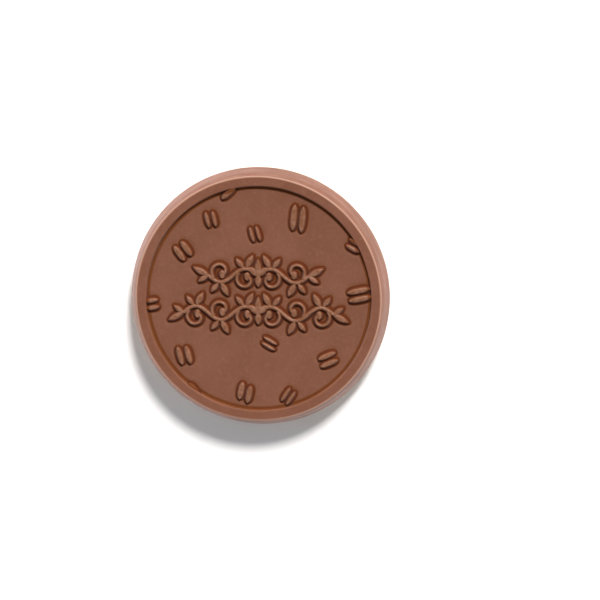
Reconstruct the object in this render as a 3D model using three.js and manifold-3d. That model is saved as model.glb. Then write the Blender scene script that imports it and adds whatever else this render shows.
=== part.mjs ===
// A sugar biscuit bonded to a disc of moulded milk chocolate.
// The biscuit lies underneath, its embossed side down, and the chocolate face looks up.
// Millimetres, +Z up. The origin is the middle of the biscuit's lowest plane.
import * as THREE from "three";
import { mergeVertices } from "three/addons/utils/BufferGeometryUtils.js";
import Module from "manifold-3d";

const wasm = await Module();
wasm.setup();

// Driving dimensions of the whole.
const lipRadius = 25; // the widest part, where the chocolate's wall starts
const biscuitThickness = 3.2;
const ledgeHeight = 1.0; // the shadowed groove between the biscuit and the lip
const wallHeight = 3.9; // lip to face

// Chocolate: a mould shape, so its wall leans in towards the face.
const wallDraft = 1.5;
const faceRadius = lipRadius - wallDraft;
const rimWidth = 0.083 * faceRadius;
const fieldDepth = 0.8; // how far the field lies below the rim
const lipZ = biscuitThickness + ledgeHeight;
const faceZ = lipZ + wallHeight;
const fieldZ = faceZ - fieldDepth;
const reliefHeight = 0.9 * fieldDepth;
const chocolateSegments = 60;

// Biscuit: a baked disc with a ring, ribs and uneven leaves pressed into its lower side.
const biscuitRadius = lipRadius - 0.4;
const ribCount = 68;
const ringRadius = 0.7 * biscuitRadius;
const ringWidth = 0.9;
const borderZ = 0.45; // the plain border round the ring
const floorZ = 0.75; // the sunk middle inside the ring
const shoulderTop = 1.6; // where the round outer edge meets the side
const backCorner = 0.8; // radius of the corner next to the chocolate

const chocolateMaterial = new THREE.MeshStandardMaterial({ color: 0x895d49, roughness: 0.42, metalness: 0 });
const biscuitMaterial = new THREE.MeshStandardMaterial({ color: 0xf3d6ae, roughness: 0.85, metalness: 0 });

// A closed geometry as a solid that can be joined to others.
function solidOf(geometry) {
  const bare = geometry.clone();
  bare.deleteAttribute("normal");
  bare.deleteAttribute("uv");
  const welded = mergeVertices(bare, 1e-4);
  return new wasm.Manifold(
    new wasm.Mesh({
      numProp: 3,
      vertProperties: welded.attributes.position.array,
      triVerts: new Uint32Array(welded.index.array),
    }),
  );
}

// The body with every piece of relief joined on, as a mesh geometry.
function joined(body, relief) {
  let whole = solidOf(body);
  for (const piece of relief) {
    whole = whole.add(solidOf(piece));
  }
  const made = whole.getMesh();
  const geometry = new THREE.BufferGeometry();
  geometry.setAttribute("position", new THREE.BufferAttribute(new Float32Array(made.vertProperties), 3));
  geometry.setIndex(new THREE.BufferAttribute(new Uint32Array(made.triVerts), 1));
  geometry.computeVertexNormals();
  return geometry;
}

// A profile in radius and height, turned round the Z axis.
function turned(profile, segments, roundness) {
  const points = profile.getPoints(roundness);
  return new THREE.LatheGeometry(points, segments).rotateX(Math.PI / 2);
}

// A plump grain whose middle lies in a plane at height z, so half of it stands out as relief.
// It is upright at turn 0, and turn is in radians, to the left.
function grain({ x, y, z, length, width, height, turn, around = 6, along = 4 }) {
  const geometry = new THREE.SphereGeometry(1, around, along);
  geometry.scale(width / 2, length / 2, height);
  geometry.rotateZ(turn);
  geometry.translate(x, y, z);
  return geometry;
}

// A repeatable unevenness between -1 and 1, for relief that isn't cut by a machine.
function uneven(index) {
  return Math.sin(12.9898 * index + 4.1) * Math.cos(7.233 * index);
}

// ---- the chocolate ----

// From the middle of the joint with the biscuit, round the hollow ledge, the lip, the leaning wall
// and the rim, to the middle of the sunk field.
function chocolateProfile() {
  const bevel = 0.2; // at the lip and at the rim's outer edge
  const stepLean = 0.25; // the step from rim to field leans in by this much
  const seamRadius = biscuitRadius - backCorner - bevel;
  const stepRadius = faceRadius - rimWidth;
  const profile = new THREE.Path();
  profile.moveTo(0, biscuitThickness);
  profile.lineTo(seamRadius, biscuitThickness);
  profile.quadraticCurveTo(seamRadius + bevel, lipZ, lipRadius - bevel, lipZ);
  profile.lineTo(lipRadius, lipZ + bevel);
  profile.lineTo(faceRadius + bevel / 2, faceZ - bevel);
  profile.lineTo(faceRadius - bevel / 2, faceZ);
  profile.lineTo(stepRadius, faceZ);
  profile.lineTo(stepRadius - stepLean, fieldZ);
  profile.lineTo(0, fieldZ);
  return profile;
}

// Bean halves lie in pairs about the field, and the rim cuts the outer ones.
// x and y are shares of the face's radius; turn is in degrees, 0 upright, positive to the left.
// slip is how far the two halves are shifted along each other, as a share of their length.
const beanPairs = [
  { x: -0.39, y: 0.65, turn: 13, size: 1, slip: 0.2 },
  { x: -0.03, y: 0.53, turn: 15, size: 0.9, slip: 0.25 },
  { x: 0.32, y: 0.66, turn: -6, size: 1.5, slip: 0.04 },
  { x: -0.61, y: 0.39, turn: 28, size: 1.1, slip: 0 },
  { x: 0.77, y: 0.43, turn: 61, size: 0.95, slip: 0 },
  { x: 0.82, y: 0.03, turn: -81, size: 1.4, slip: 0 },
  { x: -0.86, y: -0.05, turn: -83, size: 0.95, slip: 0 },
  { x: 0.09, y: -0.37, turn: 67, size: 0.95, slip: -0.12 },
  { x: 0.57, y: -0.5, turn: -70, size: 1.05, slip: 0.05 },
  { x: -0.6, y: -0.47, turn: 11, size: 1.15, slip: 0.1 },
  { x: -0.11, y: -0.78, turn: -9, size: 1.15, slip: 0.1 },
  { x: 0.24, y: -0.8, turn: -32, size: 1, slip: -0.08 },
];
const rimBeans = [
  { x: -0.24, y: 0.86, turn: -48, size: 1.05, slip: 0 },
  { x: -0.53, y: -0.76, turn: 40, size: 1, slip: 0 },
];
const beanLength = 3.5;
const beanWidth = 1.55;
const beanSpacing = 1.45; // between the middles of the two halves, so that their feet join

function beanHalf(bean, side) {
  const turn = THREE.MathUtils.degToRad(bean.turn);
  const girth = Math.sqrt(bean.size);
  const aside = 0.5 * side * beanSpacing * girth;
  const slip = 0.5 * side * bean.slip * beanLength * bean.size;
  return grain({
    x: bean.x * faceRadius + aside * Math.cos(turn) + slip * Math.sin(turn),
    y: bean.y * faceRadius + aside * Math.sin(turn) - slip * Math.cos(turn),
    z: fieldZ,
    length: beanLength * bean.size,
    width: beanWidth * girth,
    height: reliefHeight,
    turn,
  });
}

function beans() {
  const pairs = beanPairs.flatMap((bean) => [beanHalf(bean, -1), beanHalf(bean, 1)]);
  const singles = rimBeans.map((bean) => beanHalf(bean, 0));
  return [...pairs, ...singles];
}

// Two rows of scrolling vine fill the middle of the field. A row is a waving stem, mirrored about
// the middle, with a curl in each hollow of the wave and two leaves on each crest.
const stemWidth = 1.16;
const curlWidth = 1.0;
const budWidth = 1.5;
const bayLength = 4.8; // half a wave of the stem
const waveHeight = 1.3;
const vineRows = [
  { y: 0.19 * faceRadius, bays: 2 },
  { y: -0.12 * faceRadius, bays: 3 },
];

// A raised stroke along a flat curve: a bar with a flat top and leaning sides.
function stroke(pointAt, steps, width) {
  const curve = new THREE.Curve();
  curve.getPoint = pointAt;
  const foot = 0.6 * width;
  const top = 0.36 * width;
  const rooted = 0.3; // how far the bar reaches down into the field
  const section = new THREE.Shape(); // its X points down and its Y across the stroke
  section.moveTo(rooted, -foot);
  section.lineTo(rooted, foot);
  section.lineTo(-reliefHeight, top);
  section.lineTo(-reliefHeight, -top);
  return new THREE.ExtrudeGeometry(section, { steps, extrudePath: curve });
}

// A leaf that starts at a point and grows in a direction, given in radians from +X.
function leaf(x, y, direction, length, width) {
  return grain({
    x: x + 0.5 * length * Math.cos(direction),
    y: y + 0.5 * length * Math.sin(direction),
    z: fieldZ,
    length: length * 1.1,
    width,
    height: reliefHeight,
    turn: direction - Math.PI / 2,
  });
}

// side is 1 on the right half of a row and -1 on the left; the bend is 1 on the wave's upper crests.
function bendOf(bay) {
  return bay % 2 === 0 ? 1 : -1;
}

// A leaf's direction, from degrees counted as they look on an upper crest of the right half.
function directionOf(degrees, side, bend) {
  const angle = THREE.MathUtils.degToRad(degrees);
  return Math.atan2(bend * Math.sin(angle), side * Math.cos(angle));
}

function stem(row, side) {
  const reach = row.bays * bayLength;
  const pointAt = (t) =>
    new THREE.Vector3(side * t * reach, row.y + waveHeight * Math.sin(Math.PI * row.bays * t), fieldZ);
  return stroke(pointAt, row.bays * 5, stemWidth);
}

// A curl winds inwards from the stem, through a good three quarters of a turn, to a round bud.
function curl(row, side, bay) {
  const bend = bendOf(bay);
  const windings = 0.8;
  const middleDrop = 0.8; // the curl's middle lies this far inside the row's middle line
  const pointAt = (t) => {
    const angle = Math.PI / 4 - 2 * Math.PI * windings * t;
    const radius = THREE.MathUtils.lerp(1.85, 0.7, t);
    const x = (bay + 0.5) * bayLength + radius * Math.cos(angle);
    const y = row.y + bend * (radius * Math.sin(angle) - middleDrop);
    return new THREE.Vector3(side * x, y, fieldZ);
  };
  const end = pointAt(1);
  const bud = { x: end.x, y: end.y, z: fieldZ, length: budWidth, width: budWidth, height: reliefHeight, turn: 0 };
  return [stroke(pointAt, 9, curlWidth), grain(bud)];
}

function crestLeaves(row, side, bay) {
  const bend = bendOf(bay);
  const x = side * (bay + 0.5) * bayLength;
  const y = row.y + bend * (waveHeight + stemWidth / 5);
  return [
    leaf(x - side * 0.15, y, directionOf(118, side, bend), 2.9, 1.6),
    leaf(x + side * 0.45, y, directionOf(52, side, bend), 2.4, 1.4),
  ];
}

function tipLeaves(row, side) {
  const bend = bendOf(row.bays);
  const x = side * row.bays * bayLength;
  return [
    leaf(x, row.y, directionOf(28, side, bend), 3.5, 1.6),
    leaf(x, row.y, directionOf(-35, side, bend), 2.5, 1.4),
  ];
}

function middleLeaves(row) {
  return [
    leaf(0, row.y, directionOf(90, 1, 1), 3.4, 1.7),
    leaf(0, row.y, directionOf(42, 1, 1), 2.6, 1.7),
    leaf(0, row.y, directionOf(42, -1, 1), 2.6, 1.7),
    leaf(0, row.y, directionOf(90, 1, -1), 2.3, 1.7),
  ];
}

function vine() {
  return vineRows.flatMap((row) => {
    const pieces = middleLeaves(row);
    for (const side of [1, -1]) {
      pieces.push(stem(row, side), ...tipLeaves(row, side));
      for (let bay = 0; bay < row.bays; bay += 1) {
        pieces.push(...curl(row, side, bay), ...crestLeaves(row, side, bay));
      }
    }
    return pieces;
  });
}

function makeChocolate() {
  const body = turned(chocolateProfile(), chocolateSegments, 3);
  const mesh = new THREE.Mesh(joined(body, [...beans(), ...vine()]), chocolateMaterial);
  mesh.name = "chocolate";
  return mesh;
}

// ---- the biscuit ----

// The lower side, from the middle out: a flat button, the sunk floor, the flat-topped ring that the
// cookie rests on, the border, the round shoulder, the side and the corner next to the chocolate.
function biscuitProfile() {
  const buttonRadius = 1.5;
  const slope = 0.55; // how far the sides of the button and the ring lean out
  const shoulderWidth = 1.2;
  const innerRing = ringRadius - ringWidth / 2;
  const outerRing = ringRadius + ringWidth / 2;
  const profile = new THREE.Path();
  profile.moveTo(0, 0);
  profile.lineTo(buttonRadius, 0);
  profile.lineTo(buttonRadius + slope, floorZ);
  profile.lineTo(innerRing - slope, floorZ);
  profile.lineTo(innerRing, 0);
  profile.lineTo(outerRing, 0);
  profile.lineTo(outerRing + slope, borderZ);
  profile.lineTo(biscuitRadius - shoulderWidth, borderZ);
  profile.quadraticCurveTo(biscuitRadius, borderZ, biscuitRadius, shoulderTop);
  profile.lineTo(biscuitRadius, biscuitThickness - backCorner);
  profile.absarc(biscuitRadius - backCorner, biscuitThickness - backCorner, backCorner, 0, Math.PI / 2, false);
  profile.lineTo(0, biscuitThickness);
  return profile;
}

function ribs() {
  const inner = 0.79 * biscuitRadius;
  const outer = 0.95 * biscuitRadius;
  const middle = (inner + outer) / 2;
  return Array.from({ length: ribCount }, (_, index) => {
    const angle = (2 * Math.PI * (index + 0.5)) / ribCount;
    return grain({
      x: middle * Math.cos(angle),
      y: middle * Math.sin(angle),
      z: borderZ + 0.1,
      length: outer - inner + 0.3 * uneven(index),
      width: 1.5,
      height: 0.45,
      turn: angle - Math.PI / 2,
      along: 3,
    });
  });
}

// Leaves inside the ring stand in three circles, each a little out of true.
function pressedLeaves() {
  const circles = [
    { count: 6, radius: 4.6, length: 4.6, width: 3.0, lean: 0 },
    { count: 10, radius: 9.1, length: 4.6, width: 2.7, lean: 35 },
    { count: 16, radius: 13.3, length: 4.0, width: 2.3, lean: 42 },
  ];
  return circles.flatMap(({ count, radius, length, width, lean }) =>
    Array.from({ length: count }, (_, index) => {
      const angle = (2 * Math.PI * index) / count + 0.05 * uneven(index + radius);
      const side = index % 2 === 0 ? 1 : -1;
      return grain({
        x: radius * Math.cos(angle),
        y: radius * Math.sin(angle),
        z: floorZ,
        length: length * (1 + 0.1 * uneven(3 * index + 1)),
        width,
        height: 0.6,
        turn: angle - Math.PI / 2 + side * THREE.MathUtils.degToRad(lean),
      });
    }),
  );
}

function makeBiscuit() {
  const body = turned(biscuitProfile(), ribCount, 2);
  const mesh = new THREE.Mesh(joined(body, [...ribs(), ...pressedLeaves()]), biscuitMaterial);
  mesh.name = "biscuit";
  return mesh;
}

const cookie = new THREE.Group();
cookie.add(makeBiscuit(), makeChocolate());
export default cookie;
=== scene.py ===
# %% [markdown]
# # A sugar biscuit backed with moulded chocolate
#
# The object is a cookie of two layers: a pale baked biscuit, and a disc of milk chocolate that was
# cast in a mould and bonded to it. The biscuit lies underneath with its pressed side down, and the
# chocolate face looks up: a raised rim, a sunk field, bean halves and two rows of scrolling vine.
#
# Each layer is one continuous skin, as it is in real life. A flat drawing of the relief is cut
# into a stamp first, and the skin is then pressed onto the stamp by Geometry Nodes. Modelling each
# leaf as its own lump would be quicker, but the lumps would meet the field at a hard line, while
# chocolate from a mould flows into one soft corner.

import math
import random

import bmesh
import bpy
from mathutils import Matrix, Vector
from mathutils.bvhtree import BVHTree


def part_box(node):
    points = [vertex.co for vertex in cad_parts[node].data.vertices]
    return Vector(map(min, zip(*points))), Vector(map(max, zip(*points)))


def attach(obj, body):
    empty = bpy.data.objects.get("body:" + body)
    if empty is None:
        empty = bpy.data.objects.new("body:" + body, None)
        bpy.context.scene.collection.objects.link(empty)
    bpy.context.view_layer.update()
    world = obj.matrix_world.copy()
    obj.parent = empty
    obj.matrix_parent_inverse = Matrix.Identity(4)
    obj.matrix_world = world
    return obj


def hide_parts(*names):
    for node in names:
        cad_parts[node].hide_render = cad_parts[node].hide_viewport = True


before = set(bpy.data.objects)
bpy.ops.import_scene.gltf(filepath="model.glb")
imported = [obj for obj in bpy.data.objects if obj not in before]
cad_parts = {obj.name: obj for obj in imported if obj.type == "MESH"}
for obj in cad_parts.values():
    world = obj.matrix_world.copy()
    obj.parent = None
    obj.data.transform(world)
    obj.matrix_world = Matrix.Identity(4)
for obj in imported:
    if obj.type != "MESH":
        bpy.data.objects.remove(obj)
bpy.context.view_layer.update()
print("nodes:", sorted(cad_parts))

# %% [markdown]
# ## Sizes
#
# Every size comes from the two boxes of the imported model, or is a share of them. The mould's draft,
# the lean of the wall that lets the cast disc drop out, makes the face narrower than the lip. A
# hair is the smallest difference that counts when heights are compared.

# %% Sizes from the frame
mm = 0.001
hair = 0.01 * mm

biscuit_low, biscuit_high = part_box("biscuit")
chocolate_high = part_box("chocolate")[1]

lip_radius = chocolate_high.x
biscuit_radius = biscuit_high.x
seam_z = biscuit_high.z
face_z = chocolate_high.z

lip_rise = 1.0 * mm
lip_z = seam_z + lip_rise
face_radius = 0.94 * lip_radius
rim_share = 0.0765
step_radius = (1 - rim_share) * face_radius
field_depth = 0.8 * mm
field_z = face_z - field_depth
relief_height = 0.9 * field_depth
print(f"lip {lip_radius / mm:.1f} mm, face {face_radius / mm:.1f} mm, field at {field_z / mm:.1f} mm")

# %% [markdown]
# ## Helpers for node trees
#
# Shader trees and geometry trees are built the same way: add a node, choose its settings, and give
# each input either a plain value or the node that feeds it. One helper does that for every kind of
# node. Inputs go by their names in Blender's editor, or as a list in their order. A kind is written
# without its family, so "Math" stands for ShaderNodeMath, and the helper finds the family.

# %% Add a node
FAMILIES = ("GeometryNode", "ShaderNode", "FunctionNode", "Node")


def add(tree, kind, inputs=(), **settings):
    """A new node; an input takes a plain value, a socket, or a node that stands for its output."""
    family = next(family for family in FAMILIES if hasattr(bpy.types, family + kind))
    made = tree.nodes.new(family + kind)
    for name, value in settings.items():
        setattr(made, name, value)
    usable = [socket for socket in made.inputs if socket.enabled]
    names = [socket.name for socket in usable]
    for key, given in inputs.items() if isinstance(inputs, dict) else enumerate(inputs):
        target = usable[names.index(key) if isinstance(key, str) else key]
        for source in given if isinstance(given, list) else [given]:
            if isinstance(source, bpy.types.Node):
                source = next(socket for socket in source.outputs if socket.enabled)
            if isinstance(source, bpy.types.NodeSocket):
                tree.links.new(source, target)
            else:
                target.default_value = source
    return made


# %% [markdown]
# A geometry tree also needs named inputs, a way to read what is stored on the points, and an ending
# that turns instances into real faces and gives them a material. Most inputs are plain numbers, so
# only the others' kinds are listed. A tree is run once, and the result is kept as a plain mesh,
# because a finished piece carries no modifiers.

# %% Start, end and run a geometry tree
SOCKET_KINDS = {"Skin": "Geometry", "Drawing": "Geometry", "Stamp": "Object", "Material": "Material"}


def geometry_tree(name, labels, marks=()):
    """An empty geometry tree, the sockets of its inputs, and the numbers stored on the points."""
    tree = bpy.data.node_groups.new(name, "GeometryNodeTree")
    tree.interface.new_socket("Geometry", in_out="OUTPUT", socket_type="NodeSocketGeometry")
    for label in (*labels, "Material"):
        kind = "NodeSocket" + SOCKET_KINDS.get(label, "Float")
        tree.interface.new_socket(label, in_out="INPUT", socket_type=kind)
    stored = {mark: add(tree, "InputNamedAttribute", {"Name": mark}) for mark in marks}
    return tree, add(tree, "GroupInput").outputs, stored


def radius_of(tree, place):
    """How far a place is from the upright axis."""
    flat = add(tree, "VectorMath", [place, (1, 1, 0)], operation="MULTIPLY")
    return add(tree, "VectorMath", [flat], operation="LENGTH")


def end_tree(tree, geometry, sockets):
    """Gives the tree its last nodes, from instances to real faces with a material."""
    real = add(tree, "RealizeInstances", [geometry])
    dressed = add(tree, "SetMaterial", {"Geometry": real, "Material": sockets["Material"]})
    add(tree, "GroupOutput", [dressed])
    print(f"{tree.name}: {len(tree.nodes)} nodes")
    return tree


def run_tree(piece, tree, values):
    """Runs a geometry tree on the piece and keeps what it made as the piece's plain mesh."""
    modifier = piece.modifiers.new(tree.name, "NODES")
    modifier.node_group = tree
    for item in tree.interface.items_tree:
        if item.name in values:
            modifier[item.identifier] = values[item.name]
    depsgraph = bpy.context.evaluated_depsgraph_get()
    made = bpy.data.meshes.new_from_object(
        piece.evaluated_get(depsgraph), preserve_all_data_layers=True, depsgraph=depsgraph
    )
    piece.modifiers.remove(modifier)
    piece.data = made
    print(f"{tree.name}: {piece.name} has {len(made.vertices)} points, {len(made.polygons)} faces")


def mesh_piece(name, points, edges=(), faces=(), attributes=None):
    """A mesh object from points, with a number stored on each point for each named attribute."""
    mesh = bpy.data.meshes.new(name)
    mesh.from_pydata(points, edges, faces)
    for label, numbers in (attributes or {}).items():
        mesh.attributes.new(label, "FLOAT", "POINT").data.foreach_set("value", numbers)
    piece = bpy.data.objects.new(name, mesh)
    bpy.context.scene.collection.objects.link(piece)
    return piece


# %% [markdown]
# ## Skins
#
# Both layers are round, so each skin starts as a profile turned round the upright axis. Blender's
# Screw modifier would do, but it gives every ring the same number of points: needles at the middle
# and long panels at the edge. Here each ring gets as many points as its length needs, and
# neighbouring rings are laced together with triangles, so the mesh is even everywhere.
#
# Real edges are never sharp. The profile is written as corners, each with the radius that rounds
# it, and the helper puts an arc in place of each corner.

# %% Profile helpers
ARC_STEPS = 4


def rounded(corners):
    """Points along straight lines whose corners, given as radius, height and rounding, are arcs."""
    points = [Vector(corners[0][:2])]
    for before, corner, after in zip(corners, corners[1:], corners[2:]):
        tip = Vector(corner[:2])
        back = (Vector(before[:2]) - tip).normalized()
        ahead = (Vector(after[:2]) - tip).normalized()
        half_angle = back.angle(ahead) / 2
        reach = corner[2] / math.tan(half_angle)
        middle = tip + (back + ahead).normalized() * corner[2] / math.sin(half_angle)
        start = (tip + back * reach - middle).normalized()
        end = (tip + ahead * reach - middle).normalized()
        for step in range(ARC_STEPS + 1):
            points.append(middle + start.slerp(end, step / ARC_STEPS) * corner[2])
    points.append(Vector(corners[-1][:2]))
    return points


def spaced(points, spacing_at):
    """The same line with extra points, so that no gap is longer than the spacing wanted there."""
    line = [points[0]]
    for start, end in zip(points, points[1:]):
        spacing = spacing_at((start + end) / 2)
        parts = max(1, math.ceil((end - start).length / spacing))
        line += [start.lerp(end, part / parts) for part in range(1, parts + 1)]
    return line


# %% Lace rings into a skin
def ring_points(radius, height, spacing, shift):
    """One ring, or a single point on the axis; shift turns it by that share of a step."""
    if radius < 1e-7:
        return [(0, 0, height)]
    count = 6 * max(1, round(2 * math.pi * radius / spacing / 6))
    turns = [2 * math.pi * (step + shift) / count for step in range(count)]
    return [(radius * math.cos(turn), radius * math.sin(turn), height) for turn in turns]


def laced(lower, lower_shift, upper, upper_shift):
    """Triangles between two rings of point numbers, each step taken on the ring that lags."""
    triangles = []
    i = j = 0
    while i < len(lower) or j < len(upper):
        next_low = (i + 1 + lower_shift) / len(lower) if i < len(lower) else math.inf
        next_up = (j + 1 + upper_shift) / len(upper) if j < len(upper) else math.inf
        low, up = lower[i % len(lower)], upper[j % len(upper)]
        if next_low <= next_up:
            i += 1
            corners = (low, lower[i % len(lower)], up)
        else:
            j += 1
            corners = (low, upper[j % len(upper)], up)
        if len(set(corners)) == 3:
            triangles.append(corners)
    return triangles


def turned_skin(name, corners, spacing_at, marks):
    """A closed skin from profile corners that run from the axis underneath to the axis on top."""
    points, faces, rings = [], [], []
    for index, station in enumerate(spaced(rounded(corners), spacing_at)):
        shift = 0.5 * (index % 2)
        ring = ring_points(station.x, station.y, spacing_at(station), shift)
        rings.append((range(len(points), len(points) + len(ring)), shift))
        points += ring
    for (lower, lower_shift), (upper, upper_shift) in zip(rings, rings[1:]):
        faces += laced(lower, lower_shift, upper, upper_shift)
    stations = [(math.hypot(x, y), height) for x, y, height in points]
    attributes = {label: [mark(*station) for station in stations] for label, mark in marks.items()}
    print(f"{name}: {len(rings)} rings, {len(points)} points, {len(faces)} triangles")
    return mesh_piece(name, points, faces=faces, attributes=attributes)


# %% [markdown]
# ### The chocolate's skin
#
# From the joint with the biscuit the profile climbs the hollow ledge, where chocolate shrank back
# from the mould's mouth, turns the crisp lip, leans in up the wall, crosses the rim and drops to the
# field, with a shallow sink along the rim's foot. The roundings are those of a polished mould: about
# a fifth of a millimetre.
#
# Two marks are stored on the points as attributes. "pressed" says where the stamp may press, and
# "cavity" says how deep in a corner a point lies, which the material reads later to paint shade there.

# %% Turn the chocolate
hollow_radius = biscuit_radius - 1.0 * mm
hollow_lean = 0.15 * mm
wall_belly = 0.12 * mm
step_lean = 0.22 * mm
sink_depth = 0.06 * mm
sink_width = 0.9 * mm
# The painted shade along the rim's foot: where it lies, how far it reaches and how dark it gets.
foot_radius = step_radius - step_lean - 0.05 * mm
foot_reach = 0.3 * mm
foot_shade_share = 0.55

chocolate_corners = [
    (0, seam_z, 0),
    (hollow_radius, seam_z, 0.1 * mm),
    (hollow_radius + hollow_lean, lip_z, 0.6 * mm),
    (lip_radius, lip_z, 0.14 * mm),
    (0.3 * lip_radius + 0.7 * face_radius + wall_belly, 0.3 * lip_z + 0.7 * face_z, 2.5 * mm),
    (face_radius, face_z, 0.24 * mm),
    (step_radius, face_z, 0.14 * mm),
    (step_radius - step_lean, field_z - sink_depth, 0.12 * mm),
    (step_radius - sink_width, field_z, 0.8 * mm),
    (0, field_z, 0),
]


def chocolate_spacing(place):
    """Coarse at the hidden joint, finer on the wall and the field, finest along the rim's step."""
    if place.y < seam_z + hair:
        return 1.6 * mm
    if place.x > step_radius - 0.7 * mm:
        return 0.36 * mm
    return 0.44 * mm


def on_face(radius, height):
    """1 on what the mould's floor shaped, and 0 elsewhere."""
    return float(radius < face_radius and height > field_z - 1.1 * sink_depth)


def rim_foot_shade(radius, height):
    """How much shade is painted at a place in the corner between the rim's step and the field."""
    closeness = min(1.0, max(0.0, 2.0 - abs(radius - foot_radius) / foot_reach))
    above = min(1.0, max(0.0, (height - field_z) / field_depth))
    return foot_shade_share * closeness * (1 - above**2) * on_face(radius, height)


chocolate = turned_skin(
    "moulded_chocolate", chocolate_corners, chocolate_spacing, {"pressed": on_face, "cavity": rim_foot_shade}
)

# %% [markdown]
# ## The drawing of the relief
#
# The mould was cut with a tool of one side slope, so a wide stroke is cut to full depth with a flat
# bottom, and a narrow tip stays shallow and runs out. It is enough, then, to draw flat lines with a
# half width at each point: the height follows from the width.
#
# Two things are drawn. A stroke is a line with its own points, such as a stem. A grain is a single
# point with a turn, a length and a width, which Geometry Nodes later swap for a short line: a bean
# half is blunt at both ends, and a leaf is blunt where it grows from and pointed at its tip.

# %% Drawing tools
BEAN, LEAF = 1.0, 2.0


def grain(kind, x, y, turn, length, width):
    """A bean half or a leaf round a middle point; it is upright at turn 0, positive to the left."""
    return {"kind": kind, "place": (x, y), "turn": turn, "length": length, "width": width}


def leaf(x, y, direction, length, width):
    """A leaf that starts at a point and grows in a direction, in radians from +X."""
    middle_x = x + 0.5 * length * math.cos(direction)
    middle_y = y + 0.5 * length * math.sin(direction)
    return grain(LEAF, middle_x, middle_y, direction - math.pi / 2, length, width)


def drawing(name, strokes, grains, height):
    """Strokes and grains as one flat mesh: strokes are edges, and grains are loose points."""
    points, edges = [], []
    numbers = {"kind": [], "turn": [], "length": [], "width": [], "half_width": []}
    for stroke, width in strokes:
        first = len(points)
        points += [(x, y, height) for x, y in stroke]
        edges += [(first + step, first + step + 1) for step in range(len(stroke) - 1)]
        for label in numbers:
            numbers[label] += [width / 2 if label == "half_width" else 0.0] * len(stroke)
    for item in grains:
        points.append((*item["place"], height))
        for label in numbers:
            numbers[label].append(item.get(label, 0.0))
    print(f"{name}: {len(strokes)} strokes, {len(grains)} grains")
    return mesh_piece(name, points, edges=edges, attributes=numbers)


# %% [markdown]
# ### Bean halves
#
# Halved beans are scattered over the field in pairs, and the outer ones run under the rim, so only a
# part of them shows. Their places follow no rule, so they stay a list: the share of the face's
# radius across and up, the turn in degrees, a half's length and the spacing of the two halves in
# millimetres, and how far they have slipped along each other, as a share of their length. A half is
# a little wider than the spacing, so the two of a pair touch.

# %% Scatter the bean halves
bean_pairs = [
    (-0.385, 0.645, 14, 3.3, 1.3, 0.04),
    (-0.025, 0.53, 16, 3.2, 1.2, 0.04),
    (0.325, 0.66, -6, 5.25, 1.62, 0.04),
    (-0.615, 0.385, 36, 3.6, 1.65, 0),
    (0.78, 0.445, 61, 3.1, 1.3, 0),
    (0.825, 0.045, -78, 4.8, 1.6, 0),
    (-0.87, -0.055, -80, 2.8, 1.4, 0),
    (0.09, -0.365, 60, 3.3, 1.15, -0.06),
    (0.57, -0.49, -66, 3.8, 1.5, 0.05),
    (-0.61, -0.475, 15, 3.8, 1.6, 0.05),
    (-0.11, -0.775, -12, 3.7, 1.6, 0.1),
    (0.245, -0.8, -33, 3.5, 1.2, 0.02),
]
# These two lie alone, half under the rim.
rim_beans = [(-0.24, 0.86, -48, 3.7, 1.5, 0), (-0.53, -0.76, 40, 3.5, 1.5, 0)]
bean_fullness = 1.12


def bean_half(bean, side):
    """One half of a pair: side is -1 or 1, or 0 for a half that lies alone."""
    x, y, degrees, length, spacing, slip = bean
    turn = math.radians(degrees)
    aside = 0.5 * side * spacing * mm
    along = -0.5 * side * slip * length * mm
    middle_x = x * face_radius + aside * math.cos(turn) - along * math.sin(turn)
    middle_y = y * face_radius + aside * math.sin(turn) + along * math.cos(turn)
    return grain(BEAN, middle_x, middle_y, turn, length * mm, bean_fullness * spacing * mm)


beans = [bean_half(bean, side) for bean in bean_pairs for side in (-1, 1)]
beans += [bean_half(bean, 0) for bean in rim_beans]
print(len(beans), "bean halves")

# %% [markdown]
# ### Scrolling vine
#
# Two rows of vine fill the middle of the face. A row is a waving stem, mirrored about the middle,
# with a curl in each hollow of the wave, two leaves on each crest and two at each tip. That is how
# such borders have always been drawn, and it needs only a few rules: a sine, a spiral whose radius
# shrinks evenly, and directions that turn over with the wave.

# %% Draw the vine
stem_width = 1.4 * mm
curl_width = 1.24 * mm
bud_width = 1.75 * mm
bay_length = 4.8 * mm
wave_height = 1.3 * mm
vine_rows = [(0.19 * face_radius, 2), (-0.12 * face_radius, 3)]


def direction_of(degrees, side, bend):
    """A direction counted as it looks on an upper crest (bend 1) of the right half (side 1)."""
    angle = math.radians(degrees)
    return math.atan2(bend * math.sin(angle), side * math.cos(angle))


def stem(row_y, bays, side):
    """Half a row's stem, from the middle outwards."""
    count = 24 * bays
    shares = [step / count for step in range(count + 1)]
    return [
        (side * share * bays * bay_length, row_y + wave_height * math.sin(math.pi * bays * share))
        for share in shares
    ]


def curl(row_y, bay, side, bend):
    """A spiral in the hollow of the wave, from the stem inwards."""
    windings, count = 0.8, 40
    outer, inner, drop = 1.85 * mm, 0.7 * mm, 0.8 * mm
    line = []
    for step in range(count + 1):
        angle = math.pi / 4 - 2 * math.pi * windings * step / count
        radius = outer + (inner - outer) * step / count
        x = (bay + 0.5) * bay_length + radius * math.cos(angle)
        y = row_y + bend * (radius * math.sin(angle) - drop)
        line.append((side * x, y))
    return line


# %% [markdown]
# A leaf is noted by how far outwards it starts, its direction on an upper crest of the right half,
# its length and its width. On the left half and on lower crests the same notes are turned over.

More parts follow.
